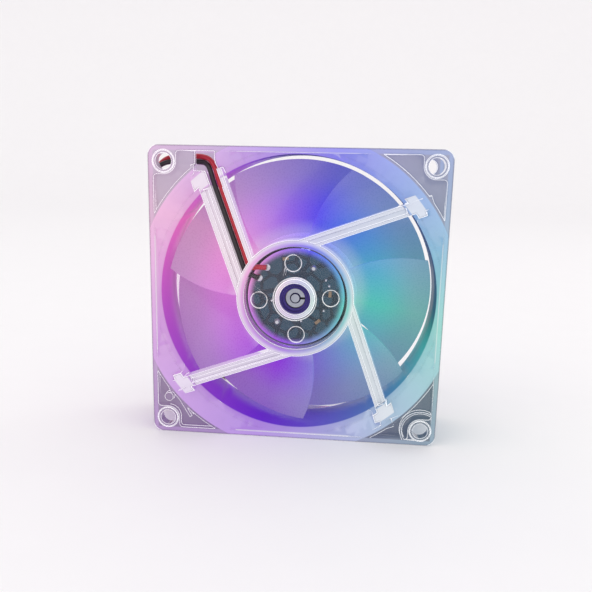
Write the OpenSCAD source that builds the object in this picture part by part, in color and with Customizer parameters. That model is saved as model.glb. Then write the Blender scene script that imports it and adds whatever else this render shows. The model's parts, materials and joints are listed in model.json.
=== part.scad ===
// Clear four-LED case fan, 80 x 80 x 25 mm, standing on its lower edge.
// Row frame: +X right and +Z up as seen from the strut side, which faces -Y. Origin at the
// middle of the lower edge. Every fan part is drawn about the spin axis, with +z towards the
// strut side, and placed by on_axis().

/* [Frame] */
// Side of the square frame
size = 80; // [80:1:84]
// Depth of the frame along the spin axis
depth = 25; // [25:1:28]
// Distance between mounting holes along a side
hole_pitch = 71.5; // [71:0.1:72]
// Diameter of a mounting hole
hole_d = 4.3; // [4:0.1:4.5]
// Thickness of the two square flanges
flange_t = 3.2; // [3:0.1:3.6]
// Depth of the corner pockets in a flange
pocket_t = 1.6; // [1:0.1:1.8]
// Thickness of the duct wall and of the flange's border
wall = 1.5; // [1.4:0.1:1.6]

/* [Struts and motor base] */
// Radius of the motor base
base_r = 16; // [15.8:0.1:16.2]
// Angle of the first strut above the horizontal
strut_angle = 20; // [18:1:22]
// Distance from the spin axis to a strut's middle line
strut_offset = 13.2; // [13:0.1:13.4]
// Width of a strut
strut_w = 3.2; // [3:0.1:3.4]
// Depth of a strut along the spin axis
strut_t = 4; // [3.6:0.1:4.2]

/* [Rotor] */
// Number of blades
blades = 7; // [5:1:9]
// Radius of the blade tips
tip_r = 37.3; // [35:0.1:37.5]
// Radius of the rotor's hub
hub_r = 16.5; // [16.4:0.1:17]
// Radius of the shaft
shaft_r = 1.5; // [1.4:0.05:1.55]

/* [Leads] */
// Outer diameter of one insulated wire
wire_d = 1.4; // [1.2:0.05:1.4]

/* [Hidden] */
$fn = 96;
eps = 0.01;
half = size / 2;
face = depth / 2;              // the two square faces are at z = face and z = -face
corner_r = 3;
hole_at = hole_pitch / 2;
throat_r = half - 1.7;
duct_r = half - 0.2;
flare_t = 4.3;                 // depth of the flare at each end of the duct
flare_r = throat_r + 4.4;
rim_r = flare_r + 1.7;
border = half - wall;
flange_in = face - flange_t;
pocket_floor = face - pocket_t;
pad_r = 3.4;                   // flush pad round a mounting hole
pad_at = hole_at - pad_r;
strut_back = face - strut_t;
groove_w = 1.3;
groove_t = 1.2;
// wire tray beside the strut that rises to the upper left
tray_in = 7.3;                 // nearest edge to the spin axis, along the tray's normal
tray_wall = 1.4;
tray_floor = face - 3.2;
tray_out = strut_offset - strut_w / 2;
tray_angle = strut_angle + 90;
tray_end = 46;
// slot for the wires: through the base's wall, then past the flare and out of a notch in the flange
slot_in = tray_in + 0.3;
slot_from = 3;
slot_to = 14.2;
open_from = 14;
flare_slot_from = throat_r - 4;
flare_slot_to = tray_end - 3;
slot_clear = 0.15;
notch_left = -27.6;
notch_right = -22;
notch_low = 33.4;
// motor base
plate_t = 1.6;
cup_in = 14.4;
cup_bottom = face - 5.3;
boss_lo = 8;
sleeve_r = 5.4;
seat_w = 0.5;                  // shallow seat sunk round the bearing tube's boss
seat_t = 0.3;
bore_lo = 7;
mark_t = 0.25;
tube_r = 4.3;
tube_in = 2.75;
mark_r = 2.25;
mark_at = 9.8;
mark_turn = 3.5;
// heights along the spin axis inside the motor
pcb_top = 9.2;
pcb_t = 1;
pcb_r = 13.4;
pcb_hole_r = 5.6;
pcb_back = pcb_top - pcb_t;
core_lo = -2;
core_hi = 4;
core_r = 12;
pole_turn = 15;
shoe_in = 10.4;
arm_w = 3.4;
bobbin_r = 6.4;
pin_r = 0.35;
pin_over = 0.3;                // length of a pin standing out of the board
magnet_r = 14.25;
magnet_in = 12.5;
yoke_r = 15.05;
yoke_t = 0.8;
hub_lo = -11;
hub_hi = 6.3;
hub_end_t = 1.6;
yoke_end = hub_lo + hub_end_t;
bush_r = 3.2;
tube_lo = -5.5;
tube_hi = 11.2;
bearing_in = shaft_r + 0.03;
clip_lo = 10.1;
clip_t = 0.5;
neck_r = 1.1;                  // neck near the shaft's end that the clip sits in
shaft_hi = 11;
shaft_tip = 0.4;
washer_r = 2.6;                // outer radius of the clip and of the oil slinger
slinger_lo = -6.6;
slinger_t = 0.6;
// blades: angles in degrees about the axis, heights along it
blade_root = hub_r - 0.4;
blade_chord = 57;
blade_skew = -12;
blade_lo = -10.2;
blade_hi = 5.5;
tip_drop = 2;
camber = 1.3;
blade_pitch = 32;
// places of the parts soldered to the board, as [x, y]
pins = [[4.7, 8.1], [-5.1, -7.2]];
blobs = [[8.2, 5], [9.1, 3.4], [7.8, -3.5], [-6.7, -1.2], [1.6, -6.6]];
led_turn = -10;                // the lamps stand at this angle and every quarter turn from it
led_r = 12.5;
// lead pair: the red and black wires, given along the tray and along its normal
wire_r = wire_d / 2;
wire_z = tray_floor + wire_r + 0.1;
red_at = 9.42;
black_at = 10.88;
bend_from = 40;
red_bend = 4.2;
black_bend = 2.8;
gap_z = 7.8;                   // height at which the wires cross behind the flange
exit_x = -33.5;
red_pad = [-8.2, 8];
black_pad = [-10.3, 5];
red_slot = [12.1, 9.2];
black_slot = [11, 10.75];
pad_t = 0.12;                  // thickness of the solder under a wire's end
lip_z = 9.4;                   // heights of a wire where it dips over the flare's edge
dip_z = 8.6;
under_z = 7.95;
// free lead: both wires in one limp round of this diameter, lying on the surface at pair_z
pair_d = 2 * wire_d;
pair_r = pair_d / 2;
pair_z = pair_r + 0.05;
// its route in the row frame: out of the upper left corner, down the side, back along the
// surface and round to the hank behind the frame
drop_route = [
    [-33.5, -7.8, 76.45], [-36.1, -7.8, 75.9], [-38.3, -7.8, 74.5], [-39.7, -7.8, 72.3],
    [-40.2, -7.5, 69.7], [-40.3, -6.7, 66.6], [-40.5, -5.4, 63], [-40.8, -3.8, 58.6],
    [-41.3, -2, 52], [-41.5, -1, 44], [-41.5, -0.6, 34], [-41.5, -0.2, 25],
    [-41.5, 0.7, 16], [-41.5, 2.6, 9.2], [-41.5, 6.2, 4.2], [-41.5, 11, 1.9],
    [-41.5, 17, 1.45], [-41.5, 24.5, 1.45], [-41.4, 31.5, 1.45], [-40, 37, 1.45],
    [-36.6, 40.4, 1.45], [-31.5, 41.4, 1.45], [-25, 41.4, 1.45], [-18, 41.4, 1.45]
];
// the hank: one turn and a quarter, the quarter lying on top of the turn, drawn in to a waist
// where the tie holds them
hank_x = 2;
hank_y = 33;
hank_half = 16;                // from the waist to the middle of either round end
hank_r = 8.4;
waist = 1.5;
hank_top = 6.2;
tie_t = 0.5;
tie_w = 2.4;
tail_route = [
    [18, 41.4, 4.3], [21, 41.4, 4.3], [24, 41.1, 3.9], [26.3, 40.4, 3], [28, 39.6, 2.55]
];
plug_x = 28;
plug_y = 39.5;
plug_l = 11.5;
plug_w = 5.6;
plug_h = 5;
pitch = 2.54;

// ---- placing and small shapes ----

module on_axis() {
    translate([0, 0, half]) rotate([90, 0, 0]) children();
}

// A ring or disc between two heights.
module ring(r_out, r_in, lo, hi) {
    translate([0, 0, lo]) difference() {
        cylinder(r = r_out, h = hi - lo);
        if (r_in > 0) translate([0, 0, -eps]) cylinder(r = r_in, h = hi - lo + 2 * eps);
    }
}

// A box between two corners.
module block(a, b) {
    translate(a) cube([b[0] - a[0], b[1] - a[1], b[2] - a[2]]);
}

module four_turns(first = 0) {
    for (i = [0:3]) rotate(first + 90 * i) children();
}

module rounded_square(side, r) {
    s = side / 2 - r;
    union() {
        square([side, 2 * s], center = true);
        square([2 * s, side], center = true);
        for (x = [-s, s], y = [-s, s]) translate([x, y]) circle(r = r);
    }
}

// ---- sweeping a tube along a route ----

function unit(v) = v / norm(v);
function catmull(a, b, c, d, t) =
    0.5 * (2 * b + (c - a) * t + (2 * a - 5 * b + 4 * c - d) * t * t
        + (3 * b - a - 3 * c + d) * t * t * t);
// A smooth line through the points of a route, with steps pieces between each two.
function smooth(p, steps) = let (n = len(p) - 1) [
    for (i = [0:n - 1], k = [0:steps - 1])
        catmull(p[max(i - 1, 0)], p[i], p[i + 1], p[min(i + 2, n)], k / steps),
    p[n]
];
function heading(p, i) = unit(p[min(i + 1, len(p) - 1)] - p[max(i - 1, 0)]);
function square_to(u, t) = unit(u - (u * t) * t);
function side_axes(p, first) = [
    for (i = 0, u = square_to(first, heading(p, 0)); i < len(p); i = i + 1,
        u = square_to(u, heading(p, min(i, len(p) - 1)))) u
];

module tube_along(p, r, first = [1, 0, 0], sides = 8) {
    axes = side_axes(p, first);
    n = len(p);
    rings = [
        for (i = [0:n - 1], k = [0:sides - 1])
            let (t = heading(p, i), u = axes[i], v = cross(t, u), a = 360 * k / sides)
                p[i] + r * (cos(a) * u + sin(a) * v)
    ];
    sides_of = [
        for (i = [0:n - 2], k = [0:sides - 1])
            let (a = i * sides, b = a + sides, m = (k + 1) % sides)
            [a + k, b + k, b + m, a + m]
    ];
    start = [for (k = [0:sides - 1]) k];
    end = [for (k = [0:sides - 1]) n * sides - 1 - k];
    polyhedron(rings, concat(sides_of, [start, end]), convexity = 10);
}

// ---- frame ----

module pocket_fillet() {
    fillet_r = 0.9;
    translate([border - fillet_r, pad_at - fillet_r]) difference() {
        square(fillet_r + eps);
        circle(r = fillet_r);
    }
}

// The corner pocket beside the hole at the upper right: between the flare's rim, the border
// and the pad round the hole.
module corner_pocket(lo) {
    translate([0, 0, lo]) linear_extrude(pocket_t + 1) difference() {
        square(border);
        circle(r = rim_r);
        difference() {
            translate([pad_at, pad_at]) square(half);
            difference() {
                translate([pad_at, pad_at]) square(pad_r);
                translate([hole_at, hole_at]) circle(r = pad_r);
            }
        }
        pocket_fillet();
        mirror([1, -1]) pocket_fillet();
    }
}

// The bell-shaped opening at one end of the duct, clipped by the border.
module flare() {
    intersection() {
        translate([0, 0, face - flare_t])
            cylinder(r1 = throat_r, r2 = flare_r + 0.1 * (flare_r - throat_r) / flare_t,
                h = flare_t + 0.1, $fn = 180);
        translate([0, 0, face - flare_t - 1])
            linear_extrude(flare_t + 2) square(2 * border, center = true);
    }
}

module hole_rings() {
    groove = 0.22;
    ring_r = hole_d / 2 + 0.85;
    for (x = [-hole_at, hole_at], y = [-hole_at, hole_at]) translate([x, y, 0]) {
        cylinder(d = hole_d, h = depth + 2, center = true);
        ring(ring_r, ring_r - groove, face - groove, face + 1);
    }
}

module duct_shell() {
    for (z = [flange_in, -face]) translate([0, 0, z])
        linear_extrude(flange_t) rounded_square(size, corner_r);
    cylinder(r = duct_r, h = depth - 2, center = true, $fn = 180);
    rib_w = 1;
    rib_end = 46.5;
    four_turns(45)
        block([duct_r - 1, -rib_w / 2, -flange_in - eps], [rib_end, rib_w / 2, flange_in + eps]);
}

// One strut along +x at its offset, flush with the strut side, with a groove along it.
module strut() {
    translate([0, strut_offset, 0]) difference() {
        block([0, -strut_w / 2, strut_back], [border + 4, strut_w / 2, face]);
        block([2, -groove_w / 2, face - groove_t], [throat_r - 3, groove_w / 2, face + 1]);
    }
}

// The broad foot of a strut, standing in the flare.
module strut_foot() {
    foot_w = 6;
    foot_end = flare_r + 1;
    intersection() {
        ring(foot_end, throat_r + 0.8, face - flare_t, face);
        block([foot_w, strut_offset - foot_w / 2, 0], [half, strut_offset + foot_w / 2, face]);
    }
}

// The tray beside the fourth strut that holds the wires, along +x.
module tray() {
    tray_start = 8;
    difference() {
        block([tray_start, tray_in, strut_back], [throat_r + 1, tray_out + eps, face]);
        block([tray_start - 1, tray_in + tray_wall, tray_floor], [tray_end, tray_out, face + 1]);
    }
    tab_at = 29.6;
    tab_r = 2.1;
    tab_t = 0.8;
    translate([tab_at, tray_in + tray_wall - eps, face - tab_t]) intersection() {
        cylinder(r = tab_r, h = tab_t);
        block([-tab_r, 0, 0], [tab_r, tab_r, tab_t]);
    }
}

module motor_base() {
    ring(base_r, 0, face - plate_t, face);
    ring(base_r, cup_in, cup_bottom, face);
    ring(sleeve_r, 0, boss_lo, face);
}

module frame_details() {
    post_r = 1.25;
    web_w = 0.8;
    // lower left corner: a small post and a web standing in the pocket
    translate([-35.4, -29.6, pocket_floor - eps]) cylinder(r = post_r, h = pocket_t + eps, $fn = 32);
    translate([-31.2, -31.6, pocket_floor - eps]) rotate(-59)
        block([-4.2, -web_w / 2, 0], [4.2, web_w / 2, pocket_t + eps]);
    // lower right corner: a raised arc round the pad
    arc_r = 5.6;
    translate([hole_at, -hole_at, 0]) intersection() {
        ring(arc_r, arc_r - 0.6, pocket_floor - eps, face);
        block([-arc_r - 1, -3, 0], [3, arc_r + 1, face]);
    }
}

module frame() {
    color([0.93, 0.93, 0.97, 0.45]) on_axis() difference() {
        union() {
            difference() {
                duct_shell();
                cylinder(r = throat_r, h = depth + 2, center = true, $fn = 180);
                flare();
                mirror([0, 0, 1]) flare();
                four_turns() corner_pocket(pocket_floor);
                mirror([0, 0, 1]) four_turns() corner_pocket(pocket_floor);
            }
            intersection() {
                union() {
                    difference() {
                        four_turns(strut_angle) { strut(); strut_foot(); }
                        cylinder(r = base_r - 0.5, h = depth);
                    }
                    rotate(tray_angle) tray();
                }
                translate([0, 0, -face]) linear_extrude(depth) square(2 * border + wall, center = true);
            }
            motor_base();
            frame_details();
        }
        hole_rings();
        // bore for the bearing tube and the shallow seat round it
        translate([0, 0, bore_lo]) cylinder(r = tube_r, h = depth);
        ring(sleeve_r + seat_w, sleeve_r, face - seat_t, face + 1);
        // four ejector marks
        four_turns(mark_turn) translate([mark_at, 0, face - mark_t]) cylinder(r = mark_r, h = 1);
        // inside of the motor base, kept open under the strut roots
        ring(cup_in, sleeve_r, strut_back - 6, face - plate_t);
        // slot for the wires through the base's wall, and their way out past the flare
        rotate(tray_angle) {
            block([slot_from, slot_in, tray_floor], [slot_to, tray_out, face - plate_t]);
            block([open_from, tray_in + tray_wall, tray_floor], [throat_r, tray_out, face + 1]);
            block([flare_slot_from, tray_in + tray_wall - slot_clear, strut_back],
                [flare_slot_to, tray_out, face + 1]);
        }
        block([notch_left, notch_low, 0], [notch_right, border, face + 1]);
    }
}

// ---- bearing and stator ----

module bearing_tube() {
    groove_out = 3.7;
    groove_in = 3.3;
    groove_deep = 0.4;
    color([0.35, 0.32, 0.5]) on_axis() difference() {
        ring(tube_r, tube_in, tube_lo, tube_hi);
        ring(groove_out, groove_in, tube_hi - groove_deep, tube_hi + 1);
    }
}

module sleeve_bearing() {
    color([0.72, 0.6, 0.42]) on_axis() ring(tube_in, bearing_in, tube_lo + 0.2, clip_lo - 0.5);
}

module thrust_washer() {
    washer_lo = clip_lo - 0.45;
    color([0.12, 0.12, 0.13]) on_axis()
        ring(tube_in - 0.1, bearing_in + 0.05, washer_lo, washer_lo + 0.3);
}

module at_poles() {
    four_turns(pole_turn) children();
}

module stator_core() {
    shoe_half = 36;
    core_hub_r = 6.2;
    wedge = 20;
    color([0.45, 0.46, 0.5]) on_axis() {
        ring(core_hub_r, tube_r, core_lo, core_hi);
        at_poles() {
            block([6, -arm_w / 2, core_lo], [shoe_in + 0.5, arm_w / 2, core_hi]);
            intersection() {
                ring(core_r, shoe_in, core_lo, core_hi);
                translate([0, 0, core_lo]) linear_extrude(core_hi - core_lo)
                    polygon([[0, 0], [wedge, -wedge * tan(shoe_half)], [wedge, wedge * tan(shoe_half)]]);
            }
        }
    }
}

// One half of the bobbin, on the core's face at z = 0, rising to +z.
module insulator() {
    t = 0.7;
    arm_half = 2.2;
    flange_half = 4;
    flange_h = 2.1;
    flange_from = 9.5;
    flange_to = 10.2;
    ring(bobbin_r, tube_r + 0.05, 0, t);
    at_poles() {
        block([6, -arm_half, 0], [flange_to, arm_half, t]);
        block([flange_from, -flange_half, 0], [flange_to, flange_half, flange_h]);
    }
}

module upper_insulator() {
    color([0.92, 0.92, 0.88]) on_axis() translate([0, 0, core_hi]) {
        insulator();
        ring(bobbin_r, sleeve_r + 0.2, 0, pcb_back - core_hi);
        for (p = pins) rotate(atan2(p[1], p[0])) difference() {
            block([6, -1, 0], [10.4, 1, 1.2]);
            translate([norm(p), 0, -1]) cylinder(r = pin_r, h = 4, $fn = 24);
        }
    }
}

module lower_insulator() {
    color([0.92, 0.92, 0.88]) on_axis() translate([0, 0, core_lo]) mirror([0, 0, 1]) insulator();
}

module coil_windings() {
    inner = 2.3;
    outer = 4.1;
    lift = 0.75;
    coil_from = 6.6;
    coil_to = 9.4;
    end_turns = 2.3;
    color([0.75, 0.38, 0.16]) on_axis() at_poles() difference() {
        block([coil_from, -outer, core_lo - end_turns], [coil_to, outer, core_hi + end_turns]);
        block([6, -inner, core_lo - lift], [10, inner, core_hi + lift]);
    }
}

module terminal_pins() {
    color([0.8, 0.78, 0.72]) on_axis() for (p = pins)
        translate([p[0], p[1], core_hi]) cylinder(r = pin_r, h = pcb_top + pin_over - core_hi, $fn = 24);
}

module motor_board() {
    color([0.1, 0.28, 0.3]) on_axis() difference() {
        ring(pcb_r, pcb_hole_r, pcb_back, pcb_top);
        for (p = pins) translate([p[0], p[1], 0]) cylinder(r = 0.42, h = depth, $fn = 24);
    }
}

// A chip body with two rows of bent legs, flat on the board's back.
module legged_chip(l, w, h, legs) {
    leg_w = 0.4;
    block([-l / 2, -w / 2, pcb_back - h], [l / 2, w / 2, pcb_back - 0.1]);
    for (i = [0:legs - 1]) translate([(i - (legs - 1) / 2) * l / legs, 0, 0]) difference() {
        block([-leg_w / 2, -w / 2 - 0.7, pcb_back - 0.3], [leg_w / 2, w / 2 + 0.7, pcb_back]);
        block([-leg_w, -w / 2, pcb_back - h], [leg_w, w / 2, pcb_back]);
    }
}

module hall_sensor() {
    color([0.1, 0.1, 0.11]) on_axis() rotate(-38) translate([10.9, 0, 0])
        legged_chip(2.8, 1.6, 1.1, 2);
}

module driver_chip() {
    color([0.08, 0.08, 0.09]) on_axis() rotate(-72) translate([9.6, 0, 0])
        legged_chip(4.2, 3, 1.4, 4);
}

module chip_parts() {
    // each place is [x, y, turn]
    front = [[9.4, 1.2, 88], [-3, 10.6, 12], [6.2, -6.6, 40]];
    back = [[-10.6, -3.4, 70], [-7.4, -8.4, 140]];
    color([0.45, 0.35, 0.28]) on_axis() {
        for (p = front) translate([p[0], p[1], pcb_top]) rotate(p[2])
            block([-0.8, -0.4, 0], [0.8, 0.4, 0.5]);
        for (p = back) translate([p[0], p[1], pcb_back - 0.9]) rotate(p[2])
            block([-1, -0.6, 0], [1, 0.6, 0.9]);
    }
}

module solder_joints() {
    color([0.85, 0.85, 0.88]) on_axis() translate([0, 0, pcb_top]) {
        for (p = pins) translate([p[0], p[1], 0]) difference() {
            cylinder(r1 = 0.95, r2 = 0.5, h = 0.6, $fn = 32);
            translate([0, 0, -eps]) cylinder(r = pin_r, h = pin_over + eps, $fn = 24);
        }
        for (p = blobs) translate([p[0], p[1], 0]) cylinder(r1 = 0.5, r2 = 0.25, h = 0.35, $fn = 24);
        for (p = [red_pad, black_pad]) translate([p[0], p[1], 0])
            cylinder(r1 = 1, r2 = 0.85, h = pad_t, $fn = 32);
    }
}

// A flat side-shining lamp on the board's back, its window facing out from the axis.
module lamp(i, shade) {
    color(shade) on_axis() rotate(led_turn + 90 * i) translate([led_r, 0, 0]) {
        block([-0.8, -1.6, pcb_back - 1.1], [0.6, 1.6, pcb_back]);
        block([0.6, -1.2, pcb_back - 0.95], [0.8, 1.2, pcb_back - 0.15]);
    }
}

module led_green() { lamp(0, [0.3, 0.95, 0.7]); }
module led_blue() { lamp(1, [0.35, 0.4, 1]); }
module led_red() { lamp(2, [1, 0.35, 0.6]); }
module led_violet() { lamp(3, [0.7, 0.25, 1]); }

// ---- leads ----

// A point in the tray, given along the tray and along its normal.
function in_tray(along, off) = [
    along * cos(tray_angle) - off * sin(tray_angle),
    along * sin(tray_angle) + off * cos(tray_angle)
];
function at_height(p, z) = [p[0], p[1], z];

// Middle line of one wire: from its pad by way of the base's slot, up the tray, round to the
// left behind the flange and out into the corner. bend is the radius of that turn.
function wire_route(pad, slot_at, off, bend) = let (
    slot = in_tray(slot_at[0], slot_at[1]),
    start = in_tray(bend_from, off),
    c = start + bend * [-sin(tray_angle), cos(tray_angle)],
    turn = 180 - tray_angle,
    y = c[1] + bend
) [
    at_height(pad, pcb_top + wire_r + pad_t), at_height((pad + slot) / 2, wire_z),
    at_height(slot, wire_z), at_height(in_tray(17, off), wire_z),
    at_height(in_tray(27, off), wire_z), at_height(in_tray(36, off), wire_z),
    at_height(start, lip_z),
    at_height(c + bend * [cos(90 - turn / 2), sin(90 - turn / 2)], dip_z),
    [c[0], y, under_z], [(c[0] + exit_x) / 2, y, gap_z], [exit_x, y, gap_z]
];

module red_wire() {
    route = wire_route(red_pad, red_slot, red_at, red_bend);
    color([0.8, 0.1, 0.12]) on_axis() tube_along(smooth(route, 2), wire_r, [0, 0, 1]);
}

module black_wire() {
    route = wire_route(black_pad, black_slot, black_at, black_bend);
    color([0.08, 0.08, 0.09]) on_axis() tube_along(smooth(route, 2), wire_r, [0, 0, 1]);
}

module lead_drop() {
    color([0.1, 0.08, 0.09]) tube_along(smooth(drop_route, 2), pair_r, [0, 1, 0]);
}

module lead_tail() {
    color([0.1, 0.08, 0.09]) tube_along(smooth(tail_route, 2), pair_r, [0, 1, 0]);
}

// Half of the distance between the hank's two runs, x away from its waist.
function half_gap(x) = waist + (hank_r - waist) * (1 - cos(180 * x / hank_half)) / 2;

module lead_hank() {
    steps = 7;
    run = [for (i = [-steps:steps]) let (x = i * hank_half / steps) [x, half_gap(x) + pair_r]];
    end = [for (a = [75:-15:-75]) [hank_half, 0] + (hank_r + pair_r) * [cos(a), sin(a)]];
    half_way = concat(run, end);
    color([0.1, 0.08, 0.09]) difference() {
        translate([hank_x, hank_y, pair_z - pair_r]) linear_extrude(hank_top - pair_z + pair_r)
            polygon(concat(half_way, -half_way));
        tie_loop();
    }
}

module tie_loop() {
    inner = waist + pair_r;
    lo = pair_z - pair_r + tie_t;
    translate([hank_x, hank_y, 0]) difference() {
        block([-tie_w / 2, -inner - tie_t, lo - tie_t], [tie_w / 2, inner + tie_t, hank_top + tie_t]);
        block([-tie_w, -inner, lo], [tie_w, inner, hank_top]);
    }
}

module hank_tie() {
    twist_l = 7;
    twist_r = 0.7;
    color([0.12, 0.12, 0.13]) {
        tie_loop();
        translate([hank_x, hank_y, hank_top + twist_r + 0.1]) rotate([0, 84, 25])
            cylinder(r = twist_r, h = twist_l, $fn = 24);
    }
}

module plug_housing() {
    cavity = 1.9;
    contact_l = 8.5;
    rib_h = 0.3;
    base_gap = 0.05;
    latch_half = 1.2;
    latch_h = 0.9;
    hole_half = 0.5;
    color([0.09, 0.09, 0.1]) translate([plug_x, plug_y, base_gap]) difference() {
        union() {
            block([0, -plug_w / 2, 0], [plug_l, plug_w / 2, plug_h]);
            block([plug_l - 6, -latch_half, plug_h - eps],
                [plug_l - 1.5, latch_half, plug_h + latch_h]);
            for (s = [-1, 1]) translate([0, s * plug_w / 2, 0])
                block([plug_l - 9, -rib_h, 1], [plug_l - 1, rib_h, 1.8]);
        }
        for (s = [-1, 1]) translate([0, s * pitch / 2, plug_h / 2]) {
            block([-1, -cavity / 2, -cavity / 2], [contact_l + 1, cavity / 2, cavity / 2]);
            block([1, -hole_half, -hole_half], [plug_l + 1, hole_half, hole_half]);
            block([4, -0.4, 0], [6.4, 0.4, plug_h]);
        }
    }
}

module plug_contacts() {
    contact = 1.7;
    color([0.8, 0.72, 0.5]) for (s = [-1, 1])
        translate([plug_x + 2, plug_y + s * pitch / 2, 0.05 + plug_h / 2]) difference() {
            block([0, -contact / 2, -contact / 2], [7, contact / 2, contact / 2]);
            block([2.5, -0.45, -0.45], [8, 0.45, 0.45]);
        }
}

// ---- rotor ----

// Surface of one blade at radius r and at s, which runs from 0 at the leading edge (away from
// the struts) to 1 at the trailing edge.
function along_span(r) = (r - blade_root) / (tip_r - blade_root);
function blade_angle(r, s) = blade_skew * pow(along_span(r), 1.4) + blade_chord * (s - 0.5);
function blade_height(r, s) = blade_lo + (blade_hi - tip_drop * along_span(r) - blade_lo) * s
    - camber * sin(180 * s);
function blade_half(r, s) = (1.3 - 0.4 * along_span(r)) / 2 * (0.35 + 0.65 * sin(180 * s));
function blade_point(r, s, side) = let (a = blade_angle(r, s), t = side * blade_half(r, s)) [
    r * cos(a) + t * sin(blade_pitch) * sin(a),
    r * sin(a) - t * sin(blade_pitch) * cos(a),
    blade_height(r, s) + t * cos(blade_pitch)
];

module blade() {
    spans = 8;
    chords = 10;
    w = chords + 1;
    n = (spans + 1) * w;
    pts = [
        for (side = [1, -1], i = [0:spans], j = [0:chords])
            blade_point(blade_root + (tip_r - blade_root) * i / spans, j / chords, side)
    ];
    top = [for (i = [0:spans - 1], j = [0:chords - 1]) let (a = i * w + j) each
        [[a, a + w + 1, a + w], [a, a + 1, a + w + 1]]];
    bottom = [for (f = top) [f[2] + n, f[1] + n, f[0] + n]];
    rim = concat(
        [for (j = [0:chords]) j],
        [for (i = [1:spans]) i * w + chords],
        [for (j = [chords - 1:-1:0]) spans * w + j],
        [for (i = [spans - 1:-1:1]) i * w]
    );
    m = len(rim);
    edge = [for (k = [0:m - 1]) let (a = rim[k], b = rim[(k + 1) % m]) each
        [[a, b + n, b], [a, a + n, b + n]]];
    polyhedron(pts, concat(top, bottom, edge), convexity = 8);
}

module impeller() {
    bevel = 0.8;
    color([0.85, 0.85, 0.95, 0.6]) on_axis() {
        ring(hub_r, yoke_r, hub_lo + bevel, hub_hi);
        translate([0, 0, hub_lo]) cylinder(r1 = hub_r - bevel, r2 = hub_r, h = bevel);
        ring(hub_r, 0, hub_lo + bevel, yoke_end);
        for (i = [0:blades - 1]) rotate(360 * i / blades) blade();
    }
}

module rotor_yoke() {
    color([0.55, 0.56, 0.6]) on_axis() {
        ring(yoke_r, magnet_r, yoke_end, hub_hi - 0.3);
        ring(yoke_r, bush_r, yoke_end, yoke_end + yoke_t);
    }
}

module magnet_ring() {
    color([0.16, 0.15, 0.16]) on_axis() ring(magnet_r, magnet_in, -3.5, hub_hi - 0.8);
}

module shaft_bush() {
    color([0.78, 0.66, 0.36]) on_axis() ring(bush_r, shaft_r, yoke_end, yoke_end + 2.4);
}

module shaft() {
    color([0.8, 0.8, 0.83]) on_axis() difference() {
        union() {
            ring(shaft_r, 0, yoke_end, shaft_hi - shaft_tip);
            translate([0, 0, shaft_hi - shaft_tip])
                cylinder(r1 = shaft_r, r2 = shaft_r - 0.35, h = shaft_tip);
        }
        ring(shaft_r + 1, neck_r, clip_lo, clip_lo + clip_t);
    }
}

module oil_slinger() {
    color([0.15, 0.15, 0.17]) on_axis() ring(washer_r, shaft_r, slinger_lo, slinger_lo + slinger_t);
}

// A split washer that snaps into the neck near the shaft's end.
module retaining_clip() {
    slit = 0.6;
    play = 0.03;
    color([0.85, 0.86, 0.9]) on_axis() difference() {
        ring(washer_r, neck_r, clip_lo + play, clip_lo + clip_t - play);
        block([0, -slit / 2, 0], [3, slit / 2, depth]);
    }
}

frame();
bearing_tube();
sleeve_bearing();
thrust_washer();
stator_core();
upper_insulator();
lower_insulator();
coil_windings();
terminal_pins();
motor_board();
hall_sensor();
driver_chip();
chip_parts();
solder_joints();
led_red();
led_blue();
led_green();
led_violet();
red_wire();
black_wire();
lead_drop();
lead_hank();
hank_tie();
lead_tail();
plug_housing();
plug_contacts();
impeller();
rotor_yoke();
magnet_ring();
shaft_bush();
shaft();
oil_slinger();
retaining_clip();
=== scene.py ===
"""The looks of a clear four-lamp case fan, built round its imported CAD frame."""
import json
import math

import bmesh
import bpy
from mathutils import Matrix, Vector


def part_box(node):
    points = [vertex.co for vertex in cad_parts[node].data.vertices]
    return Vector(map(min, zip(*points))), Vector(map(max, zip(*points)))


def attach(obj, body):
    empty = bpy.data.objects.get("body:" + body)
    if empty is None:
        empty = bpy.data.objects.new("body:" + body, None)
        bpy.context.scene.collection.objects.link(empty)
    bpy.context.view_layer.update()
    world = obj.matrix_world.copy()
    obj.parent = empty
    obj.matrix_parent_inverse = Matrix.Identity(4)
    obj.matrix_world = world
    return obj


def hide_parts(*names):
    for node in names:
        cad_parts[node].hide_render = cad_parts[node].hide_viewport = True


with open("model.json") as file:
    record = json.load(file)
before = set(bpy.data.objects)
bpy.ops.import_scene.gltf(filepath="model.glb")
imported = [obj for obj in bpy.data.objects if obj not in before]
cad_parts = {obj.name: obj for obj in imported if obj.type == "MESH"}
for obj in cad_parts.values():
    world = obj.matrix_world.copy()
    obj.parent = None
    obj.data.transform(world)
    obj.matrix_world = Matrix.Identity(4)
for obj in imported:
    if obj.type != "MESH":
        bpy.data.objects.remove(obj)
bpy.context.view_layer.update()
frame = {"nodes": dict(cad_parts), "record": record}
MM = 0.001

# ---- sizes that more than one piece uses, in millimetres about the spin axis ----
# Local axes: x to the right, y up and z towards the strut side, with the spin axis at the middle.
HALF = 1000 * (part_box("frame")[1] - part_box("frame")[0])[0] / 2
HUB_R = 16.5
TIP_R = 1000 * (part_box("impeller")[1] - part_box("impeller")[0])[0] / 2
THROAT_R = HALF - 1.7
FLARE_R = 43.6
BASE_R = 16.1
CUP_IN = 14.4
BOSS_R = 5.4
BLADES = 7
WIRE_R = 0.7
TRAY_ANGLE = math.radians(110)


def row(p):
    """A point given about the spin axis, in the row frame and in metres."""
    return Vector((p[0] * MM, -p[2] * MM, (p[1] + HALF) * MM))


# ---- node materials ----

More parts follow.
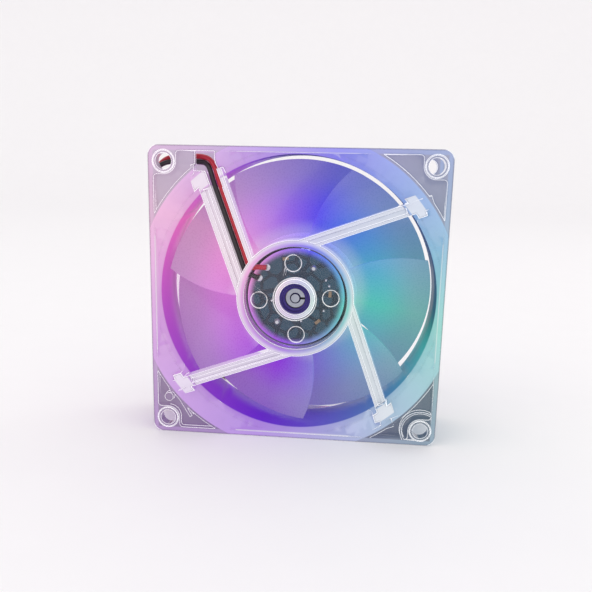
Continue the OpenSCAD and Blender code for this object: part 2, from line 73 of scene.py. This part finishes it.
class Shade:
    """A material whose nodes are added one by one. Sockets are set by name."""

    def __init__(self, name):
        self.mat = bpy.data.materials.new(name)
        self.mat.use_nodes = True
        self.tree = self.mat.node_tree
        self.bsdf = self.tree.nodes["Principled BSDF"]
        self.out = self.tree.nodes["Material Output"]

    def add(self, kind, inputs=None, **settings):
        n = self.tree.nodes.new(kind)
        for key, value in settings.items():
            setattr(n, key, value)
        for key, value in (inputs or {}).items():
            self.feed(n.inputs[key], value)
        return n

    def feed(self, socket, value):
        if isinstance(value, bpy.types.NodeSocket):
            self.tree.links.new(value, socket)
        else:
            socket.default_value = value

    def surface(self, **inputs):
        for key, value in inputs.items():
            self.feed(self.bsdf.inputs[key.replace("_", " ")], value)
        return self

    def math(self, operation, a, b=0.0, c=0.0, clamp=False):
        n = self.add("ShaderNodeMath", {0: a, 1: b, 2: c}, operation=operation, use_clamp=clamp)
        return n.outputs[0]

    def noise(self, scale, detail=3.0, roughness=0.5):
        place = self.add("ShaderNodeTexCoord").outputs["Object"]
        inputs = {"Vector": place, "Scale": scale, "Detail": detail, "Roughness": roughness}
        return self.add("ShaderNodeTexNoise", inputs).outputs["Fac"]

    def spread(self, value, lo, hi):
        """The value 0 to 1 stretched to lo to hi."""
        inputs = {"Value": value, "To Min": lo, "To Max": hi}
        return self.add("ShaderNodeMapRange", inputs).outputs["Result"]

    def blend_value(self, factor, a, b):
        """Mix two numbers."""
        return self.add("ShaderNodeMix", {"Factor": factor, 2: a, 3: b}).outputs[0]

    def blend(self, factor, a, b, kind="MIX"):
        n = self.add("ShaderNodeMix", {"Factor": factor}, data_type="RGBA", blend_type=kind)
        self.feed(n.inputs[6], a)
        self.feed(n.inputs[7], b)
        return n.outputs[2]

    def bump(self, height, depth):
        inputs = {"Height": height, "Distance": depth, "Strength": 1.0}
        return self.add("ShaderNodeBump", inputs).outputs["Normal"]

    def ramp(self, value, stops, interpolation="LINEAR"):
        n = self.add("ShaderNodeValToRGB", {"Fac": value})
        n.color_ramp.interpolation = interpolation
        points = n.color_ramp.elements
        points[0].position, points[0].color = stops[0][0], stops[0][1]
        points[1].position, points[1].color = stops[-1][0], stops[-1][1]
        for at, colour in stops[1:-1]:
            points.new(at).color = colour
        return n.outputs["Color"]


def rgb(r, g, b):
    """A colour given as it looks on a screen, 0 to 255, in Blender's linear values."""
    lin = [(v / 255 / 12.92) if v <= 10 else ((v / 255 + 0.055) / 1.055) ** 2.4 for v in (r, g, b)]
    return (*lin, 1.0)


def around(s):
    """Angle about the spin axis as 0 to 1 turn from +X, and distance from it in millimetres."""
    place = s.add("ShaderNodeNewGeometry").outputs["Position"]
    split = s.add("ShaderNodeSeparateXYZ", {0: place})
    x = s.math("MULTIPLY", split.outputs["X"], 1000.0)
    y = s.math("MULTIPLY_ADD", split.outputs["Z"], 1000.0, -HALF)
    z = s.math("MULTIPLY", split.outputs["Y"], -1000.0)
    turn = s.math("ARCTAN2", y, x)
    turn = s.math("MULTIPLY_ADD", turn, 1 / math.tau, 1.0)
    turn = s.math("FRACT", turn)
    far = s.math("SQRT", s.math("ADD", s.math("MULTIPLY", x, x), s.math("MULTIPLY", y, y)))
    return turn, far, x, y, z


def fade(s, value, lo, hi):
    """0 below lo and 1 above hi, smooth between."""
    inputs = {"Value": value, "From Min": lo, "From Max": hi}
    n = s.add("ShaderNodeMapRange", inputs, interpolation_type="SMOOTHSTEP")
    return n.outputs["Result"]


# ---- meshes ----

def mesh_object(name, verts, faces):
    mesh = bpy.data.meshes.new(name)
    mesh.from_pydata([tuple(v) for v in verts], [], faces)
    mesh.validate()
    mesh.shade_smooth()
    return link_new(name, mesh)


def link_new(name, data):
    """A new object of this name and data, put in the scene."""
    made = bpy.data.objects.new(name, data)
    bpy.context.collection.objects.link(made)
    return made


def dress(piece, *shades):
    piece.data.materials.clear()
    for s in shades:
        piece.data.materials.append(s.mat)


def lathe(name, profile, steps=96):
    """A closed profile of (radius, height) in millimetres, turned about the spin axis."""
    n = len(profile)
    verts, faces = [], []
    for i in range(steps):
        a = math.tau * i / steps
        verts += [row((r * math.cos(a), r * math.sin(a), z)) for r, z in profile]
    for i in range(steps):
        m = (i + 1) % steps
        faces += [(i * n + j, m * n + j, m * n + (j + 1) % n, i * n + (j + 1) % n) for j in range(n)]
    made = mesh_object(name, verts, faces)
    made.data.set_sharp_from_angle(angle=math.radians(40))
    return made


def joined(name, parts):
    """One object made of several."""
    whole = bmesh.new()
    for part in parts:
        whole.from_mesh(part.data)
        bpy.data.objects.remove(part)
    bmesh.ops.recalc_face_normals(whole, faces=whole.faces)
    mesh = bpy.data.meshes.new(name)
    whole.to_mesh(mesh)
    whole.free()
    return link_new(name, mesh)


def catmull(a, b, c, d, t):
    return 0.5 * (2 * b + (c - a) * t + (2 * a - 5 * b + 4 * c - d) * t * t
                  + (3 * b - a - 3 * c + d) * t ** 3)


def smooth_line(points, steps):
    p = [Vector(q) for q in points]
    n = len(p) - 1
    line = [catmull(p[max(i - 1, 0)], p[i], p[i + 1], p[min(i + 2, n)], k / steps)
            for i in range(n) for k in range(steps)]
    return line + [p[n]]


def headings(line):
    n = len(line) - 1
    return [(line[min(i + 1, n)] - line[max(i - 1, 0)]).normalized() for i in range(n + 1)]


def side_axes(line, first):
    """A unit vector square to the line at each point, carried along it without twist."""
    axis, axes = Vector(first), []
    for t in headings(line):
        axis = (axis - axis.dot(t) * t).normalized()
        axes.append(axis)
    return axes


def tube(line, radius, first, sides=16):
    """Points and faces of a round tube along a line, with closed ends."""
    verts, faces = [], []
    for p, t, u in zip(line, headings(line), side_axes(line, first)):
        v = t.cross(u)
        for k in range(sides):
            a = math.tau * k / sides
            verts.append(p + radius * (math.cos(a) * u + math.sin(a) * v))
    for i in range(len(line) - 1):
        for k in range(sides):
            m = (k + 1) % sides
            faces.append((i * sides + k, i * sides + m, (i + 1) * sides + m, (i + 1) * sides + k))
    faces.append(tuple(reversed(range(sides))))
    faces.append(tuple(range(len(verts) - sides, len(verts))))
    return verts, faces


# ---- camera ----

def make_camera():
    data = bpy.data.cameras.new("camera")
    data.lens = 41.97
    data.sensor_width = 36
    data.shift_x = 0.006
    data.shift_y = 0.061
    data.clip_start = 0.01
    cam = link_new("camera", data)
    ahead = Vector((-0.0978, 0.9696, -0.2244)).normalized()
    up = Vector((-0.0442, 0.221, 0.9743))
    right = ahead.cross(up).normalized()
    up = right.cross(ahead)
    cam.matrix_world = Matrix((
        (right.x, up.x, -ahead.x, 0.0181),
        (right.y, up.y, -ahead.y, -0.1959),
        (right.z, up.z, -ahead.z, 0.0733),
        (0, 0, 0, 1),
    ))
    bpy.context.scene.camera = cam


# ---- the lead ----

DROP_ROUTE = [
    (-0.0335, -0.0078, 0.07645), (-0.0361, -0.0078, 0.0759), (-0.0383, -0.0078, 0.0745),
    (-0.0397, -0.0078, 0.0723), (-0.0402, -0.0075, 0.0697), (-0.0403, -0.0067, 0.0666),
    (-0.0405, -0.0054, 0.063), (-0.0408, -0.0038, 0.0586), (-0.0413, -0.002, 0.052),
    (-0.0415, -0.001, 0.044), (-0.0415, -0.0006, 0.034), (-0.0415, -0.0002, 0.025),
    (-0.0415, 0.0007, 0.016), (-0.0415, 0.0026, 0.0092), (-0.0415, 0.0062, 0.0042),
    (-0.0415, 0.011, 0.0019), (-0.0415, 0.017, 0.00145), (-0.0415, 0.0245, 0.00145),
    (-0.0414, 0.0315, 0.00145), (-0.04, 0.037, 0.00145), (-0.0366, 0.0404, 0.00145),
    (-0.0315, 0.0414, 0.00145), (-0.025, 0.0414, 0.00145), (-0.018, 0.0414, 0.00145),
]
TAIL_ROUTE = [
    (0.018, 0.0414, 0.0043), (0.021, 0.0414, 0.0043), (0.024, 0.0411, 0.0039),
    (0.0263, 0.0404, 0.003), (0.028, 0.0396, 0.00255),
]
HANK_AT = Vector((0.002, 0.033, 0))
HANK_HALF = 0.016
HANK_R = 0.0084
WAIST = 0.0015
LAYERS = (0.00145, 0.00427)
# the share of the first turn over which the lead climbs to its second layer
CLIMB_FROM = 0.7
CLIMB_TO = 0.92
TIE_T = 0.0005
TIE_REACH = 0.008


def hank_turn():
    """One turn of the hank in plan, from its left end along the back run, clockwise from above."""
    steps = 12
    half = []
    for i in range(steps):
        x = -HANK_HALF + 2 * HANK_HALF * i / steps
        gap = WAIST + (HANK_R - WAIST) * (1 - math.cos(math.pi * x / HANK_HALF)) / 2
        half.append(Vector((x, gap, 0)))
    for i in range(steps):
        a = math.radians(90 - 180 * i / steps)
        half.append(Vector((HANK_HALF + HANK_R * math.cos(a), HANK_R * math.sin(a), 0)))
    return half + [-p for p in half]


def lead_line():
    """The free lead's middle line, from where it leaves the frame to the plug."""
    turn = hank_turn()
    count = len(turn) + len(turn) // 4
    wound = []
    for i in range(count):
        p = HANK_AT + turn[i % len(turn)]
        # the last quarter lies on the first turn, and the lead climbs to it round the left end
        climb = min(max((i / len(turn) - CLIMB_FROM) / (CLIMB_TO - CLIMB_FROM), 0), 1)
        height = LAYERS[0] + (LAYERS[1] - LAYERS[0]) * (3 * climb ** 2 - 2 * climb ** 3)
        # the tie lifts the waist off the surface by its own thickness
        lift = TIE_T * max(0, 1 - abs(turn[i % len(turn)].x) / TIE_REACH)
        wound.append(p + Vector((0, 0, height + lift)))
    return smooth_line(DROP_ROUTE + [tuple(p) for p in wound] + TAIL_ROUTE, 4)


def make_lead(red, black):
    """Two wires laid round each other, as one piece."""
    line = lead_line()
    heads = headings(line)
    axes = side_axes(line, (0, 0.2, 1))
    length = sum((b - a).length for a, b in zip(line, line[1:]))
    twists = 10.25
    verts, faces, shade_of = [], [], []
    run = 0
    middle = [[], []]
    wire_r = 0.97 * WIRE_R * MM
    for i, p in enumerate(line):
        run += (p - line[i - 1]).length if i else 0
        a = math.tau * twists * run / length
        across = math.cos(a) * axes[i] + math.sin(a) * heads[i].cross(axes[i])
        middle[0].append(p + wire_r * across)
        middle[1].append(p - wire_r * across)
    for index, wire in enumerate(middle):
        v, f = tube(wire, wire_r, (0, 0.2, 1), 12)
        faces += [tuple(k + len(verts) for k in face) for face in f]
        shade_of += [index] * len(f)
        verts += v
    lead = mesh_object("lead", verts, faces)
    dress(lead, red, black)
    for face, index in zip(lead.data.polygons, shade_of):
        face.material_index = index
    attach(lead, "housing")
    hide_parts("lead_drop", "lead_hank", "lead_tail")


# ---- the light of the four lamps, fixed in space round the spin axis ----
# zones of the clear moulding and the blades, in millimetres
BORDER_IN = HALF - 1.6
DUCT_END = (7.6, 8.4)
FOOT_R = 41.6
FOOT_FACE = (11.7, 12.1)
WASHED_TO = 21.0
# where the painted lamp light on the blades fades to grey towards the tips
LESS_LIT_SPAN = (22.0, 35.0)
# reach of the painted highlight along the edges, and of the painted shade line beside it
LINE_REACH = 0.34
SHADE_REACH = 0.9
# The lamps' colours, from the right by way of the top. Each is strongest at its own angle in
# degrees. The pink one reaches furthest round.

TEAL = rgb(100, 215, 200)
BLUE = rgb(95, 85, 250)
PINK = rgb(250, 165, 225)
VIOLET = rgb(155, 65, 230)
LAMPS = ((-10, TEAL), (75, BLUE), (148, PINK), (255, VIOLET), (350, TEAL))
WHITE = (1, 1, 1, 1)
BLACK = (0, 0, 0, 1)
# painted shade: greys for the corners' painted shading, dark to lit; the dark one also paints the shade
# lines and outlines
PAINTED_SHADE_GREY = rgb(70, 62, 76)
PAINTED_LIT_GREY = rgb(205, 200, 212)
# the grey the blades are painted towards their tips, where less lamp light reaches
LESS_LIT_GREY = rgb(150, 150, 165)
# painted shade for the upper right of the duct's wall
PAINTED_SHADE_BLUE = rgb(24, 28, 96)


def lamp_light(s, turn):
    """The four lamps' light, each strongest at its own angle and mixed with the next between."""
    first = LAMPS[0][0]
    from_first = s.math("FRACT", s.math("ADD", turn, 1 - first / 360))
    return s.ramp(from_first, [((angle - first) / 360, colour) for angle, colour in LAMPS])


def near_edge(s, reach):
    """1 on a sharp edge, falling to 0 at about this many millimetres from it."""
    rounded = s.add("ShaderNodeBevel", {"Radius": reach * MM}, samples=6).outputs["Normal"]
    true = s.add("ShaderNodeNewGeometry").outputs["Normal"]
    turned = s.add("ShaderNodeVectorMath", {0: rounded, 1: true}, operation="DOT_PRODUCT")
    return fade(s, s.math("SUBTRACT", 1.0, turned.outputs["Value"]), 0.01, 0.07)


def within(s, value, lo, hi, soft=0.3):
    """1 between lo and hi, falling to 0 over a short distance outside them."""
    above = fade(s, value, lo - soft, lo)
    below = s.math("SUBTRACT", 1.0, fade(s, value, hi, hi + soft))
    return s.math("MULTIPLY", above, below)


def blade_glow(s):
    """Painted lamp light: washed out beside the lamps, full a little further out, and painted greyer
    and less lit towards the tips.
    """
    turn, far, x, y, z = around(s)
    light = lamp_light(s, turn)
    washed = s.math("MULTIPLY", s.math("SUBTRACT", 1.0, fade(s, far, HUB_R, WASHED_TO)), 0.25)
    less_lit = s.math("MULTIPLY", fade(s, far, *LESS_LIT_SPAN), 0.42)
    return s.blend(less_lit, s.blend(washed, light, WHITE), LESS_LIT_GREY)


def clear_plastic():
    """Clear polycarbonate, with the lamps' light painted into it in the duct, the flare and the
    struts. Its corners are grey with painted shade, darker low down and to the right. The duct's
    wall is dull, with painted shade at its upper right."""
    s = Shade("clear_plastic")
    turn, far, x, y, z = around(s)
    light = lamp_light(s, turn)
    # painted shade: the corners are painted lighter towards the top and darker towards the right
    height = s.math("MULTIPLY_ADD", y, 0.0085, 0.5)
    lit_level = s.math("MULTIPLY_ADD", x, -0.004, height, clamp=True)
    corner_light_and_shade = s.blend(0.22, s.blend(lit_level, PAINTED_SHADE_GREY, PAINTED_LIT_GREY), light)
    side = s.math("MAXIMUM", s.math("ABSOLUTE", x), s.math("ABSOLUTE", y))
    on_border = fade(s, side, BORDER_IN, BORDER_IN + 0.4)
    in_flare = within(s, far, THROAT_R - 0.4, FLARE_R)
    on_strut = within(s, far, BASE_R, THROAT_R - 0.9)
    on_rim = within(s, far, CUP_IN, BASE_R)
    on_boss = s.math("SUBTRACT", 1.0, fade(s, far, BOSS_R, BOSS_R + 0.2))
    on_plate = within(s, far, BOSS_R + 0.3, CUP_IN - 0.4)
    in_duct = s.math("SUBTRACT", 1.0, fade(s, s.math("ABSOLUTE", z), *DUCT_END))

    # painted lamp light on the border, the flare, the struts and their feet, the rim and the boss
    tone = s.blend(s.math("MULTIPLY", on_border, 0.6), corner_light_and_shade, s.blend(0.3, light, WHITE))
    tone = s.blend(in_flare, tone, s.blend(0.25, light, WHITE))
    duct_wall = s.math("MULTIPLY", in_flare, in_duct)
    # painted light: a deeper lamp colour in the duct's wall, with painted shade at its upper right
    deep = s.blend(0.85, light, s.blend(1.0, light, light, "MULTIPLY"))
    shaded_side = fade(s, s.math("ADD", x, y), 20.0, 36.0)
    tone = s.blend(duct_wall, tone, s.blend(s.math("MULTIPLY", shaded_side, 0.8), deep, PAINTED_SHADE_BLUE))
    tone = s.blend(on_strut, tone, s.blend(0.78, light, WHITE))
    proud = s.math("MULTIPLY", within(s, far, THROAT_R, FOOT_R), fade(s, z, *FOOT_FACE))
    on_foot = s.math("MULTIPLY", proud, s.math("SUBTRACT", 1.0, on_border))
    tone = s.blend(on_foot, tone, s.blend(0.72, light, WHITE))
    rim = s.blend(s.spread(fade(s, far, CUP_IN, BASE_R), 0.1, 0.85), light, WHITE)
    tone = s.blend(on_rim, tone, rim)
    tone = s.blend(on_boss, tone, s.blend(0.7, light, WHITE))

    # painted highlight: light comes out along the edges, with a line of painted shade beside it
    line = near_edge(s, LINE_REACH)
    beside = s.math("MULTIPLY", near_edge(s, SHADE_REACH), s.math("SUBTRACT", 1.0, line))
    tone = s.blend(s.math("MULTIPLY", beside, 0.6), tone, s.blend(0.3, PAINTED_SHADE_GREY, light))
    tone = s.blend(line, tone, s.blend(0.94, light, WHITE))
    # painted shade: a dark line round the outer border, and a dark outline where the surface turns away
    outer = fade(s, side, HALF - 0.3, HALF - 0.1)
    tone = s.blend(s.math("MULTIPLY", outer, 0.55), tone, PAINTED_SHADE_GREY)
    graze = s.add("ShaderNodeLayerWeight", {"Blend": 0.35}).outputs["Facing"]
    outline = s.math("MULTIPLY", s.math("POWER", graze, 3.0), 0.4)
    tone = s.blend(outline, tone, PAINTED_SHADE_GREY)
    clear = s.spread(graze, 0.03, 0.12)
    seen = s.math("MULTIPLY_ADD", line, 0.75, clear, clamp=True)
    solid = s.math("MAXIMUM", s.spread(graze, 0.84, 0.95), in_flare)
    alpha = s.blend_value(on_plate, solid, seen)
    flow = s.noise(140.0, 2.0)
    haze = s.noise(900.0, 4.0)
    s.surface(
        # the painted light and shade are in the base colour, darkened, and glow as emission
        Base_Color=s.blend(0.62, tone, BLACK),
        Roughness=s.blend_value(duct_wall, s.spread(haze, 0.04, 0.13), 0.55),
        IOR=1.58,
        Alpha=alpha,
        Coat_Weight=s.math("MULTIPLY_ADD", duct_wall, -0.5, 0.5),
        Coat_Roughness=0.03,
        Emission_Color=tone,
        Emission_Strength=s.math("MULTIPLY_ADD", line, 0.45, s.spread(flow, 0.46, 0.56)),
        Normal=s.bump(s.blend(0.5, flow, haze), 0.00002),
    )
    return s


def frosted_plastic():
    """The blades and hub: lightly frosted, and full of the lamps' light."""
    s = Shade("frosted_plastic")
    tone = blade_glow(s)
    grain = s.noise(2200.0, 3.0)
    edge = s.add("ShaderNodeLayerWeight", {"Blend": 0.3}).outputs["Facing"]
    s.surface(
        Base_Color=s.blend(0.55, tone, BLACK),
        Roughness=s.spread(grain, 0.22, 0.34),
        IOR=1.5,
        Alpha=s.spread(edge, 0.93, 1.0),
        Coat_Weight=0.2,
        Coat_Roughness=0.12,
        Emission_Color=tone,
        Emission_Strength=0.5,
        Normal=s.bump(grain, 0.000008),
    )
    return s


def darker(colour, share):
    return (colour[0] * share, colour[1] * share, colour[2] * share, 1)


def metal(name, colour, roughness, grain=400.0, stretch=0.06):
    s = Shade(name)
    fine = s.noise(grain, 4.0)
    s.surface(
        Base_Color=s.blend(s.spread(fine, 0.0, 0.35), colour, rgb(40, 40, 44)),
        Metallic=1.0,
        Roughness=s.spread(fine, roughness - stretch, roughness + stretch),
        Normal=s.bump(fine, 0.000006),
    )
    return s


def moulded(name, colour, roughness=0.45, grain=1400.0):
    s = Shade(name)
    fine = s.noise(grain, 4.0)
    s.surface(
        Base_Color=s.blend(s.spread(fine, 0.0, 0.25), colour, darker(colour, 0.6)),
        Roughness=s.spread(fine, roughness - 0.07, roughness + 0.07),
        Normal=s.bump(fine, 0.00001),
    )
    return s


def wire_skin(name, colour):
    """Soft PVC with a faint unevenness."""
    s = Shade(name)
    fine = s.noise(900.0, 3.0)
    s.surface(
        Base_Color=s.blend(s.spread(fine, 0.0, 0.3), colour, darker(colour, 0.7)),
        Roughness=s.spread(fine, 0.3, 0.42),
        Coat_Weight=0.25,
        Coat_Roughness=0.2,
        Normal=s.bump(fine, 0.000012),
    )
    return s


def board_skin():
    """Dark solder mask with copper tracks under it, lit at its rim by the lamps."""
    s = Shade("board")
    turn, far, x, y, z = around(s)
    place = s.add("ShaderNodeTexCoord").outputs["Object"]
    cells = s.add("ShaderNodeTexVoronoi", {"Vector": place, "Scale": 260.0}, feature="DISTANCE_TO_EDGE")
    track = fade(s, cells.outputs["Distance"], 0.09, 0.13)
    mask = s.blend(track, rgb(22, 46, 60), rgb(38, 74, 92))
    lit = lamp_light(s, turn)
    rim = fade(s, far, 11.2, 13.4)
    s.surface(
        Base_Color=s.blend(s.math("MULTIPLY", rim, 0.5), mask, lit),
        Roughness=s.spread(track, 0.4, 0.28),
        Coat_Weight=0.2,
        Coat_Roughness=0.12,
        Emission_Color=lit,
        Emission_Strength=s.math("MULTIPLY", s.math("POWER", rim, 2.0), 0.5),
        Normal=s.bump(track, 0.00002),
    )
    return s


def lamp(name, colour):
    """The lamp's cast body, glowing a little unevenly."""
    s = Shade(name)
    cast = s.noise(700.0, 2.0)
    s.surface(
        Base_Color=colour,
        Roughness=s.spread(cast, 0.15, 0.25),
        Emission_Color=s.blend(0.35, colour, WHITE),
        Emission_Strength=s.spread(cast, 3.0, 4.5),
    )
    return s


# ---- the pieces ----

def make_case():
    """The clear moulding, its faces merged into clean ones, to stand for the CAD frame."""
    source = bmesh.new()
    source.from_mesh(frame["nodes"]["frame"].data)
    bmesh.ops.remove_doubles(source, verts=source.verts, dist=2e-6)
    flat = math.radians(0.6)
    bmesh.ops.dissolve_limit(source, angle_limit=flat, verts=source.verts, edges=source.edges)
    mesh = bpy.data.meshes.new("frame_finish")
    source.to_mesh(mesh)
    source.free()
    mesh.shade_smooth()
    mesh.set_sharp_from_angle(angle=math.radians(35))
    case = link_new("frame_finish", mesh)
    dress(case, clear_plastic())
    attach(case, "housing")
    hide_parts("frame")


BLADE_CHORD = 57
BLADE_SKEW = -12
BLADE_LO = -10.2
BLADE_HI = 5.5
TIP_DROP = 2
CAMBER = 1.3
BLADE_ROOT = HUB_R - 0.4
BLADE_PITCH = 32
ROOT_T = 1.3
TIP_THINNER = 0.4


def blade_point(span, s, side):
    """A point on a blade, span from root to tip and s from its leading to its trailing edge."""
    r = BLADE_ROOT + (TIP_R - BLADE_ROOT) * span
    a = math.radians(BLADE_SKEW * span ** 1.4 + BLADE_CHORD * (s - 0.5))
    half = (ROOT_T - TIP_THINNER * span) / 2 * (0.3 + 0.7 * math.sin(math.pi * s) ** 0.6)
    height = BLADE_LO + (BLADE_HI - TIP_DROP * span - BLADE_LO) * s - CAMBER * math.sin(math.pi * s)
    tilt = math.radians(BLADE_PITCH)
    t = side * half
    x = r * math.cos(a) + t * math.sin(tilt) * math.sin(a)
    y = r * math.sin(a) - t * math.sin(tilt) * math.cos(a)
    return row((x, y, height + t * math.cos(tilt)))


def make_blade(turn):
    spans, chords = 14, 26
    w = chords + 1
    n = (spans + 1) * w
    verts = []
    for side in (1, -1):
        verts += [blade_point(i / spans, j / chords, side) for i in range(spans + 1) for j in range(w)]
    quads = [(i * w + j, (i + 1) * w + j, (i + 1) * w + j + 1, i * w + j + 1)
             for i in range(spans) for j in range(chords)]
    faces = quads + [tuple(v + n for v in reversed(q)) for q in quads]
    rim = [j for j in range(w)] + [i * w + chords for i in range(1, spans + 1)]
    rim += [spans * w + j for j in range(chords - 1, -1, -1)] + [i * w for i in range(spans - 1, 0, -1)]
    faces += [(a, b, b + n, a + n) for a, b in zip(rim, rim[1:] + rim[:1])]
    blade = mesh_object("blade", verts, faces)
    spin = Matrix.Translation(row((0, 0, 0))) @ Matrix.Rotation(turn, 4, (0, -1, 0))
    blade.data.transform(spin @ Matrix.Translation(-row((0, 0, 0))))
    return blade


def make_impeller():
    """Hub and blades. The hub's skirt, closed end and rounded shoulder are one turned profile."""
    lo, end, hi, skin, round_r = -11.0, -9.4, 6.3, 15.05, 0.9
    shoulder = [(HUB_R - round_r + round_r * math.sin(a), lo + round_r - round_r * math.cos(a))
                for a in (math.radians(15 * k) for k in range(7))]
    profile = [(0.02, lo + 0.25), (6.0, lo + 0.25), (6.4, lo)] + shoulder
    profile += [(HUB_R, hi - 0.2), (HUB_R - 0.2, hi), (skin, hi), (skin, end), (0.02, end)]
    hub = lathe("hub", profile, 128)
    blades = [make_blade(math.tau * i / BLADES) for i in range(BLADES)]
    impeller = joined("impeller_finish", [hub] + blades)
    impeller.data.shade_smooth()
    impeller.data.set_sharp_from_angle(angle=math.radians(40))
    dress(impeller, frosted_plastic())
    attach(impeller, "rotor")
    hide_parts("impeller")


def in_tray(along, off):
    c, s = math.cos(TRAY_ANGLE), math.sin(TRAY_ANGLE)
    return Vector((along * c - off * s, along * s + off * c, 0))


def inner_wire(name, shade, pad, slot, off, bend):
    """One wire from its pad on the board to where the pair leaves the frame. The slot and the
    tray are given along the tray and along its normal."""
    up = Vector((0, 0, 1))
    pad_top, lie, lip, dip, under, gap = 10.02, 10.1, 9.4, 8.6, 7.95, 7.8
    exit_x = -33.5
    start = in_tray(40, off)
    c = start + bend * Vector((-math.sin(TRAY_ANGLE), math.cos(TRAY_ANGLE), 0))
    turn = math.pi - TRAY_ANGLE
    half_turn = c + bend * Vector((math.sin(turn / 2), math.cos(turn / 2), 0))
    pad, slot = Vector((*pad, 0)), in_tray(*slot)
    end_y = c.y + bend
    points = [pad + up * pad_top, (pad + slot) / 2 + up * lie, slot + up * lie]
    points += [in_tray(along, off) + up * lie for along in (17, 27, 36)]
    points += [start + up * lip, half_turn + up * dip, Vector((c.x, end_y, under))]
    points += [Vector(((c.x + exit_x) / 2, end_y, gap)), Vector((exit_x, end_y, gap))]
    line = [row(p) for p in smooth_line(points, 8)]
    wire = mesh_object(name, *tube(line, WIRE_R * MM, (0, -1, 0), 16))
    dress(wire, shade)
    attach(wire, "housing")
    return wire


# each wire's pad and slot, its distance from the spin axis in the tray, and its bend's radius
RED_RUN = {"pad": (-8.2, 8), "slot": (12.1, 9.2), "off": 9.42, "bend": 4.2}
BLACK_RUN = {"pad": (-10.3, 5), "slot": (11, 10.75), "off": 10.88, "bend": 2.8}


def make_inner_wires(red, black):
    wire = inner_wire("red_lead", red, **RED_RUN)
    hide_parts("red_wire")
    wire = inner_wire("black_lead", black, **BLACK_RUN)
    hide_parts("black_wire")


def finish_nodes():
    """Materials for the CAD nodes that stay as they are."""
    shades = {
        "steel": metal("steel", rgb(150, 152, 160), 0.34),
        "bright_steel": metal("bright_steel", rgb(176, 180, 192), 0.2),
        "magnet": moulded("magnet", rgb(52, 50, 54), 0.6),
        "brass": metal("brass", rgb(206, 176, 104), 0.24),
        "bronze": metal("bronze", rgb(176, 138, 92), 0.4),
        "copper": metal("copper", rgb(206, 112, 58), 0.26, 1500.0),
        "solder": metal("solder", rgb(226, 228, 236), 0.2),
        "board": board_skin(),
        "board_parts": moulded("board_parts", rgb(150, 128, 104), 0.5),
        "black_nylon": moulded("black_nylon", rgb(30, 30, 32), 0.42),
        "white_nylon": moulded("white_nylon", rgb(232, 232, 224), 0.45),
        "lamp_red": lamp("lamp_red", rgb(255, 120, 180)),
        "lamp_blue": lamp("lamp_blue", rgb(110, 120, 255)),
        "lamp_green": lamp("lamp_green", rgb(90, 245, 205)),
        "lamp_violet": lamp("lamp_violet", rgb(190, 70, 250)),
        # painted reflection: the tube's violet stands in for the lamps' light reflected in it
        "dark_tube": metal("dark_tube", rgb(70, 60, 125), 0.3),
        "black_pvc": black_pvc,
    }
    slots = {part["node"]: part["material_slot"] for part in frame["record"]["subparts"]}
    for name, node in frame["nodes"].items():
        if slots[name] in shades:
            dress(node, shades[slots[name]])


# ---- room and light ----

def make_floor():
    """A pale floor that curves up into a backdrop."""
    s = Shade("floor")
    fine = s.noise(60.0, 3.0)
    s.surface(
        Base_Color=s.blend(fine, rgb(249, 247, 248), rgb(247, 245, 246)),
        Roughness=0.7,
    )
    front, bend_from, bend_r, top, half_width = -2.5, 1.2, 0.6, 3.0, 3
    bend = [(bend_from + bend_r * math.sin(a), bend_r - bend_r * math.cos(a))
            for a in (math.radians(10 * k) for k in range(10))]
    outline = [(front, 0.0)] + bend + [(bend_from + bend_r, top)]
    verts = [(x, y, z) for y, z in outline for x in (-half_width, half_width)]
    faces = [(2 * i, 2 * i + 1, 2 * i + 3, 2 * i + 2) for i in range(len(outline) - 1)]
    floor = mesh_object("floor", verts, faces)
    dress(floor, s)


def make_light(name, place, target, size, watts):
    data = bpy.data.lights.new(name, "AREA")
    data.shape = "RECTANGLE"
    data.size, data.size_y = size
    data.energy = watts
    light = link_new(name, data)
    light.location = place
    light.rotation_euler = (Vector(target) - Vector(place)).to_track_quat("-Z", "Y").to_euler()


def make_room():
    make_floor()
    world = bpy.data.worlds.new("world")
    bpy.context.scene.world = world
    world.use_nodes = True
    back = world.node_tree.nodes["Background"]
    back.inputs["Color"].default_value = (1, 0.995, 1, 1)
    back.inputs["Strength"].default_value = 1.0
    make_light("key", (-0.5, -0.5, 0.8), (0, 0, 0.04), (0.5, 0.5), 0.6)
    make_light("rim", (0.5, 0.3, 0.7), (0, 0, 0.04), (0.3, 0.5), 0.3)
    bpy.context.scene.view_settings.view_transform = "Standard"


# ---- scene ----

make_camera()
red_pvc = wire_skin("red_pvc", rgb(190, 20, 48))
black_pvc = wire_skin("black_pvc", rgb(30, 24, 28))
make_lead(red_pvc, black_pvc)
make_inner_wires(red_pvc, black_pvc)
make_case()
make_impeller()
finish_nodes()
make_room()
